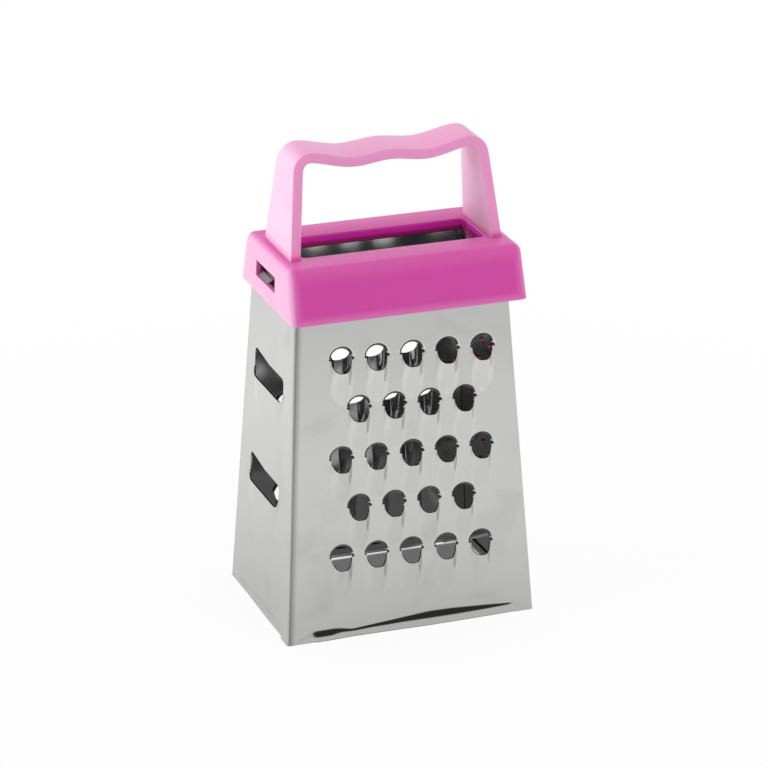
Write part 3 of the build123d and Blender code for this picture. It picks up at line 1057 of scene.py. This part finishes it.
def plastic_material(finish, cap):
    """Pink moulded plastic with painted light: paler where it is thin, turned to the left lamp and seen at a
    slant, and painted a deeper, brighter pink inside the cap.
    """
    material, tree, surface, spot, turned, wear = worn_material("pink moulded plastic", PLASTIC_WAVES)
    across = tree.calculate("ABSOLUTE", tree.calculate("SUBTRACT", spot["X"], cap.shift))
    # Painted glow on the strap and the skirt's ends, top and foot, a painted sheen at a slant, and painted
    # light on faces turned to the left lamp
    strap = tree.spread(spot["Z"], shifted(cap.top, STRAP_SPAN), (0, STRAP_PALE))
    ends = tree.spread(across, [part * cap.base_width for part in END_SHARES], (0, END_PALE))
    high = tree.spread(spot["Z"], shifted(cap.top, HIGH_SPAN), (0, HIGH_PALE))
    foot = tree.spread(spot["Z"], shifted(cap.base, FOOT_SPAN), (FOOT_PALE, 0))
    slant = tree.spread(tree.add("LayerWeight").outputs["Facing"], SLANT_SPAN, (0, SLANT_PALE))
    lit = tree.spread(turned["X"], LIT_TURN, (LIT_PALE, 0))
    painted_glow = tree.calculate("MAXIMUM", ends, high, foot, strap)
    tone = tree.mix(tree.calculate("ADD", painted_glow, slant, lit), finish.plastic, finish.pale_plastic)

    # Painted light inside the cap, in a brighter, deeper pink
    deep = tree.calculate("ABSOLUTE", spot["Y"])
    inner = tree.calculate(
        "MULTIPLY",
        tree.spread(spot["Z"], shifted(cap.top, UNDER_SPAN), (1, 0)),
        tree.spread(deep, shifted(cap.top_depth / 2, DEPTH_SPAN), (1, 0)),
        tree.spread(across, shifted(cap.mouth_width / 2, MOUTH_SPAN), (1, 0)),
    )
    tree.feed(surface["Base Color"], tree.mix(inner, tone, finish.inner_plastic))
    rough = finish.plastic_roughness
    blur = tree.spread(wear["Smudge"], (0, 1), (rough, rough + PLASTIC_SMUDGE_BLUR))
    tree.feed(surface["Roughness"], blur)
    for name, value in PLASTIC_SURFACE.items():
        tree.feed(surface[name], value)
    wave(tree, surface, wear, PLASTIC_WAVE_STRENGTH, PLASTIC_WAVE_DEPTH)
    return material


def cover(piece, material):
    """Gives a piece one material."""
    piece.data.materials.clear()
    piece.data.materials.append(material)


# Cap in millimetres: the mouth's place and corner, the windows' offset and cut, and the softened edges
MOUTH_ACROSS = -0.5
MOUTH_CORNER = 1.4
WINDOW_OFFSET = 0.7
WINDOW_CUT = 6.0
CAP_SOFT_EDGE = 0.3
STRAP_SOFT_EDGE = 0.5
CAP_NEAR = 0.01 * MM

# Steps of the cap's rounded corners and edges, and the angles past which an edge is softened or stays sharp
CORNER_SEGMENTS = 10
EDGE_SEGMENTS = 8
CAP_SOFT_SEGMENTS = 3
STRAP_SOFT_SEGMENTS = 4
CAP_SOFT_ANGLE = math.radians(40)
STRAP_SOFT_ANGLE = math.radians(50)
SMOOTH_PLASTIC = math.radians(35)


def cap_body(cap):
    """Skirt and top plate of the cap, with its mouth and windows."""
    tall = cap.top - cap.base
    rim = cap.top - CAP_NEAR
    skirt = start_from(
        bpy.ops.mesh.primitive_cube_add,
        (0, 0, cap.base + tall / 2),
        (cap.base_width, cap.base_depth, tall),
    )
    edit(skirt, "FACE")
    choose(skirt, "faces", lambda face: face.normal.z > LEVEL)
    bpy.ops.transform.resize(value=(cap.top_width / cap.base_width, cap.top_depth / cap.base_depth, 1))
    bpy.ops.mesh.select_all(action="DESELECT")
    bpy.ops.mesh.select_mode(type="EDGE")
    choose(skirt, "edges", lambda side: abs(side.verts[0].co.z - side.verts[1].co.z) > tall / 2)
    bpy.ops.mesh.bevel(offset=cap.corner, segments=CORNER_SEGMENTS, affect="EDGES")
    bpy.ops.mesh.select_all(action="DESELECT")
    choose(skirt, "edges", lambda side: all(v.co.z > rim for v in side.verts))
    bpy.ops.mesh.bevel(offset=cap.edge, segments=EDGE_SEGMENTS, affect="EDGES")
    bpy.ops.mesh.select_all(action="DESELECT")
    bpy.ops.mesh.select_mode(type="FACE")
    choose(skirt, "faces", lambda face: abs(face.normal.z) > LEVEL)
    bpy.ops.mesh.delete(type="ONLY_FACE")
    mouth = start_from(
        bpy.ops.mesh.primitive_plane_add,
        (0, MOUTH_ACROSS * MM, cap.top),
        (cap.mouth_width, cap.mouth_depth, 1),
    )
    edit(mouth, "VERT")
    bpy.ops.mesh.select_all(action="SELECT")
    bpy.ops.mesh.bevel(offset=MOUTH_CORNER * MM, segments=EDGE_SEGMENTS, affect="VERTICES")
    bpy.ops.mesh.select_all(action="SELECT")
    bpy.ops.mesh.delete(type="ONLY_FACE")
    skirt = join([skirt, mouth], "cap")
    edit(skirt, "EDGE")
    choose(
        skirt, "edges", lambda side: len(side.link_faces) < 2 and all(v.co.z > rim for v in side.verts)
    )
    bpy.ops.mesh.fill(use_beauty=True)
    bpy.ops.mesh.select_all(action="SELECT")
    bpy.ops.mesh.normals_make_consistent(inside=False)
    let_go()
    finish_modifier(skirt, "wall", "SOLIDIFY", thickness=cap.wall, offset=-1, use_even_offset=True)
    edit(skirt, "VERT")
    ceiling = cap.top - cap.wall
    choose(skirt, "verts", lambda v: abs(v.co.z - ceiling) < 2 * CAP_NEAR)
    bpy.ops.transform.translate(value=(0, 0, cap.wall - cap.plate))
    let_go()
    for side in (-1, 1):
        cutter = start_from(
            bpy.ops.mesh.primitive_cube_add,
            (side * cap.base_width / 2, -side * WINDOW_OFFSET * MM, cap.window_place),
            (WINDOW_CUT * MM, cap.window_width, cap.window_height),
        )
        finish_modifier(skirt, "window", "BOOLEAN", object=cutter, operation="DIFFERENCE", solver="EXACT")
        bpy.data.objects.remove(cutter)
    return skirt


# Outer line of the handle's right half in millimetres: place, and the reach of its curve handle
GRIP_LINE = (
    ((21.35, 73.3), (0.0, 0.0)),
    ((19.6, 90.6), (-0.25, 1.9)),
    ((15.9, 93.93), (-2.0, 0.0)),
    ((7.6, 92.4), (-2.6, -0.1)),
    ((0.0, 93.05), (-2.6, 0.0)),
)
GRIP_STEPS = 16


def strap_ribbon(cap):
    """Handle as a ribbon along its outer line, thickened inwards, tapered and rounded."""
    let_go()
    bpy.ops.curve.primitive_bezier_curve_add()
    line = bpy.context.object
    spline = line.data.splines[0]
    right = list(GRIP_LINE)
    left = [((-x, z), (dx, -dz)) for (x, z), (dx, dz) in reversed(right[:-1])]
    route = right + left
    spline.bezier_points.add(len(route) - 2)
    for point, ((x, z), (dx, dz)) in zip(spline.bezier_points, route):
        point.handle_left_type = "FREE"
        point.handle_right_type = "FREE"
        point.co = (x * MM, 0, z * MM)
        point.handle_left = ((x - dx) * MM, 0, (z - dz) * MM)
        point.handle_right = ((x + dx) * MM, 0, (z + dz) * MM)
    line.data.resolution_u = GRIP_STEPS
    line.matrix_world = Matrix.Identity(4)
    take(line)
    bpy.ops.object.convert(target="MESH")
    strap = bpy.context.object
    edit(strap, "EDGE")
    bpy.ops.mesh.select_all(action="SELECT")
    bpy.ops.transform.translate(value=(0, -cap.foot_depth / 2, 0))
    bpy.ops.mesh.extrude_edges_move(TRANSFORM_OT_translate={"value": (0, cap.foot_depth, 0)})
    mesh = bmesh.from_edit_mesh(strap.data)
    reach = cad_high.z - cap.top
    for vertex in mesh.verts:
        up = max(vertex.co.z - cap.top, 0) / reach
        depth = cap.foot_depth + (cap.head_depth - cap.foot_depth) * up
        vertex.co.y *= depth / cap.foot_depth
    bmesh.update_edit_mesh(strap.data)
    bpy.ops.mesh.select_all(action="SELECT")
    bpy.ops.mesh.normals_make_consistent(inside=False)
    let_go()
    top_face = max(strap.data.polygons, key=lambda face: face.center.z)
    inward = -1 if top_face.normal.z > 0 else 1
    finish_modifier(strap, "strap", "SOLIDIFY", thickness=cap.strap, offset=inward, use_even_offset=True)
    finish_modifier(
        strap, "soft edges", "BEVEL", width=STRAP_SOFT_EDGE * MM, segments=STRAP_SOFT_SEGMENTS,
        limit_method="ANGLE", angle_limit=STRAP_SOFT_ANGLE,
    )
    return named(strap, "handle strap")


def cap_with_handle(cap):
    """Moulded cap in one piece with its handle."""
    skirt = cap_body(cap)
    finish_modifier(
        skirt, "soft edges", "BEVEL", width=CAP_SOFT_EDGE * MM, segments=CAP_SOFT_SEGMENTS,
        limit_method="ANGLE", angle_limit=CAP_SOFT_ANGLE,
    )
    strap = strap_ribbon(cap)
    finish_modifier(skirt, "handle", "BOOLEAN", object=strap, operation="UNION", solver="EXACT")
    bpy.data.objects.remove(strap)
    place(skirt, Matrix.Translation((cap.shift, 0, 0)))
    take(skirt)
    bpy.ops.object.shade_smooth_by_angle(angle=SMOOTH_PLASTIC)
    return skirt


def aim(thing, eye, target, roll=0.0):
    """Turns a lamp or camera at a point, with a small roll of the picture."""
    forward = (target - eye).normalized()
    right = forward.cross(Vector((0, 0, 1))).normalized()
    up = right.cross(forward)
    turned_right = math.cos(roll) * right + math.sin(roll) * up
    turned_up = -math.sin(roll) * right + math.cos(roll) * up
    turn = Matrix((turned_right, turned_up, -forward)).transposed()
    thing.matrix_world = Matrix.Translation(eye) @ turn.to_4x4()


# Soft lamps: name, place and aim in metres, side of the square in metres, and power in watts
LAMPS = (
    ("left softbox", (-0.6, 0.08, 0.16), (0, 0, 0.06), 0.4, 2.4),
    ("top softbox", (0.05, -0.15, 0.7), (0, 0, 0.05), 0.5, 1.7),
    ("front fill", (0.25, -0.6, 0.25), (0, 0, 0.06), 0.5, 1.85),
)


def soft_lamp(name, eye, target, side, power):
    """Large soft area lamp that the steel doesn't mirror."""
    let_go()
    bpy.ops.object.light_add(type="AREA")
    lamp = bpy.context.object
    lamp.name = name
    lamp.data.shape = "RECTANGLE"
    lamp.data.size = side
    lamp.data.size_y = side
    lamp.data.energy = power
    lamp.visible_glossy = False
    aim(lamp, Vector(eye), Vector(target))


# Greys of the studio by the height of the look, from straight down to straight up, and the turn between them
BACK_WALL = ((0.0, 1.0), (0.72, 1.0), (0.86, 0.7), (1.0, 0.55))
FRONT_ROOM = ((0.0, 1.0), (0.4, 0.8), (0.5, 0.4), (0.54, 0.06), (0.7, 0.03), (0.92, 0.05), (1.0, 0.4))
TURN_TO_WALL = (-0.25, 0.25)

WHITE = (1.0, 1.0, 1.0, 1.0)
BLACK = (0.0, 0.0, 0.0, 1.0)


def studio_world():
    """Studio with a white wall behind, a dark room in front of the grater and a soft grey ceiling."""
    world = bpy.data.worlds.new("studio")
    bpy.context.scene.world = world
    world.use_nodes = True
    tree = Shading(world.node_tree)
    way = tree.split(tree.add("TexCoord").outputs["Generated"])
    height = tree.spread(way["Z"], (-1, 1), (0, 1), "LINEAR")
    behind = tree.spread(way["Y"], TURN_TO_WALL, (0, 1))
    room = tree.mix(behind, tree.greys(height, FRONT_ROOM), tree.greys(height, BACK_WALL))
    seen = tree.add("LightPath").outputs["Is Camera Ray"]
    tree.feed(tree.nodes["Background"].inputs["Color"], tree.mix(seen, room, WHITE))


# Floor: its own pale grey, the painted shadow inside the body as shares of the body's half sizes, and the
# glow that the camera sees, which grows with the distance
FLOOR_GREY = (0.88, 0.88, 0.88, 1)
FLOOR_PAINTED_SHADOW = (0.15, 0.15, 0.15, 1.0)
INSIDE_SHARES = (0.93, 1.0)
GLOW_SPAN = (60 * MM, 220 * MM)
GLOW = (0.93, 1.0)

# What the steel mirrors of the floor, as painted shade: how much of it, the greys by the slant of the look,
# which are dark straight below and bright at middle slants, and the greys by the distance from the body, a
# painted shadow that is darkest next to it
MIRRORED_GLOW = 0.85
FLOOR_SLANT = ((0.0, 0.03), (0.12, 0.06), (0.25, 1.0), (0.68, 1.0), (0.77, 0.86), (1.0, 0.42))
FLOOR_SHADOW_POOL = ((0.0, 0.7), (0.07, 0.77), (0.15, 0.86), (0.37, 1.0), (0.6, 1.0), (0.87, 0.9), (1.0, 0.85))
POOL_SPAN = (20 * MM, 320 * MM)


def floor_material(body):
    """Pale matt floor that reads white and keeps the shadow, with a painted dark shadow inside the body and
    painted shade where the steel mirrors it.
    """
    material = bpy.data.materials.new("pale floor")
    material.use_nodes = True
    tree = Shading(material.node_tree)
    tree.nodes.remove(tree.nodes["Principled BSDF"])
    here = tree.add("TexCoord").outputs["Object"]
    spot = tree.split(here)
    sides = [
        tree.calculate("MULTIPLY", tree.calculate("ABSOLUTE", spot[way]), 2 / size)
        for way, size in (("X", body.width), ("Y", body.depth))
    ]
    outside = tree.spread(tree.calculate("MAXIMUM", *sides), INSIDE_SHARES, (0, 1))
    away = tree.add("VectorMath", {0: here}, operation="LENGTH").outputs["Value"]

    seen = tree.add("LightPath").outputs
    # Painted shade in the floor that the steel mirrors, by the slant of the look and the distance from the
    # body
    slant = tree.greys(tree.add("LayerWeight").outputs["Facing"], FLOOR_SLANT)
    shadow_pool = tree.greys(tree.spread(away, POOL_SPAN, (0, 1), "LINEAR"), FLOOR_SHADOW_POOL)
    tone = tree.mix(seen["Is Glossy Ray"], WHITE, tree.mix(slant, BLACK, shadow_pool))
    # Painted shadow: the floor glows dark grey inside the body
    glow = tree.add("Emission", {"Color": tree.mix(outside, FLOOR_PAINTED_SHADOW, tone)})
    looked_at = tree.calculate("MULTIPLY", seen["Is Camera Ray"], tree.spread(away, GLOW_SPAN, GLOW))
    mirrored_in = tree.calculate("MULTIPLY", seen["Is Glossy Ray"], MIRRORED_GLOW)
    matt = tree.add("BsdfDiffuse", {"Color": FLOOR_GREY})
    mixed = tree.add("MixShader", {"Fac": tree.calculate("MAXIMUM", looked_at, mirrored_in)})
    tree.feed(mixed.inputs[1], matt.outputs["BSDF"])
    tree.feed(mixed.inputs[2], glow.outputs["Emission"])
    tree.feed(tree.nodes["Material Output"].inputs["Surface"], mixed.outputs["Shader"])
    return material


class GRATER_OT_half_shells(bpy.types.Operator):
    """Presses the two half shells that lap into the body"""

    bl_idname = "grater.half_shells"
    bl_label = "Half Shells"

    def execute(self, context):
        body = context.scene.grater_body
        front_right = half_shell(body, "front_right_half_shell", FRONT_PATTERN, burr_field(body))
        back_left = half_shell(body, "back_left_half_shell", BACK_PATTERN, slot_pair(body))
        place(back_left, Matrix.Rotation(math.pi, 4, "Z"))
        steel = steel_material(context.scene.grater_finish, body)
        for piece, node in ((front_right, "front_right_shell"), (back_left, "back_left_shell")):
            cover(piece, steel)
            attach(piece, "root")
            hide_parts(node)
        return {"FINISHED"}


class GRATER_OT_cap(bpy.types.Operator):
    """Moulds the cap in one piece with its carrying handle"""

    bl_idname = "grater.cap"
    bl_label = "Cap with Handle"

    def execute(self, context):
        sizes = context.scene.grater_cap
        cap = named(cap_with_handle(sizes), "moulded_cap_and_handle")
        cover(cap, plastic_material(context.scene.grater_finish, sizes))
        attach(cap, "root")
        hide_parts("cap_with_handle")
        return {"FINISHED"}


# Camera's sensor in millimetres, the nearest place that it sees, and the corners of the round floor
SENSOR_WIDTH = 36
CLIP_START = 10 * MM
FLOOR_SIDES = 96


class GRATER_OT_stage(bpy.types.Operator):
    """Sets up the camera, the lamps, the world and the floor"""

    bl_idname = "grater.stage"
    bl_label = "Stage"

    def execute(self, context):
        stage = context.scene.grater_stage
        context.scene.view_settings.view_transform = "Standard"
        let_go()
        bpy.ops.object.camera_add()
        camera = bpy.context.object
        camera.data.sensor_width = SENSOR_WIDTH
        camera.data.lens = stage.focal_length
        camera.data.clip_start = CLIP_START
        target = Vector((stage.aim_right, 0, stage.aim_height))
        level = math.cos(stage.elevation)
        back = Vector(
            (-math.sin(stage.azimuth) * level, -math.cos(stage.azimuth) * level, math.sin(stage.elevation))
        )
        aim(camera, target + back * stage.distance, target, stage.roll)
        context.scene.camera = camera
        for lamp in LAMPS:
            soft_lamp(*lamp)
        studio_world()
        let_go()
        bpy.ops.mesh.primitive_circle_add(
            vertices=FLOOR_SIDES, radius=stage.floor_radius, fill_type="NGON"
        )
        floor = named(bpy.context.object, "floor")
        cover(floor, floor_material(context.scene.grater_body))
        return {"FINISHED"}


class GRATER_PT_parts(bpy.types.Panel):
    """Lists the pieces of the grater in the sidebar"""

    bl_idname = "GRATER_PT_parts"
    bl_label = "Box Grater"
    bl_space_type = "VIEW_3D"
    bl_region_type = "UI"
    bl_category = "Grater"

    def draw(self, context):
        for operator in PIECES:
            self.layout.operator(operator.bl_idname)


PIECES = (GRATER_OT_half_shells, GRATER_OT_cap, GRATER_OT_stage)
GROUPS = {
    "grater_body": GraterBodySizes,
    "grater_cap": GraterCapSizes,
    "grater_finish": GraterFinish,
    "grater_stage": GraterStage,
}
CLASSES = tuple(GROUPS.values()) + PIECES + (GRATER_PT_parts,)


def register():
    for item in CLASSES:
        bpy.utils.register_class(item)
    for name, group in GROUPS.items():
        setattr(bpy.types.Scene, name, PointerProperty(type=group))


def unregister():
    for name in GROUPS:
        delattr(bpy.types.Scene, name)
    for item in reversed(CLASSES):
        bpy.utils.unregister_class(item)


def main():
    """Builds every piece and the stage."""
    register()
    bpy.ops.grater.half_shells()
    bpy.ops.grater.cap()
    bpy.ops.grater.stage()


if __name__ == "__main__":
    main()
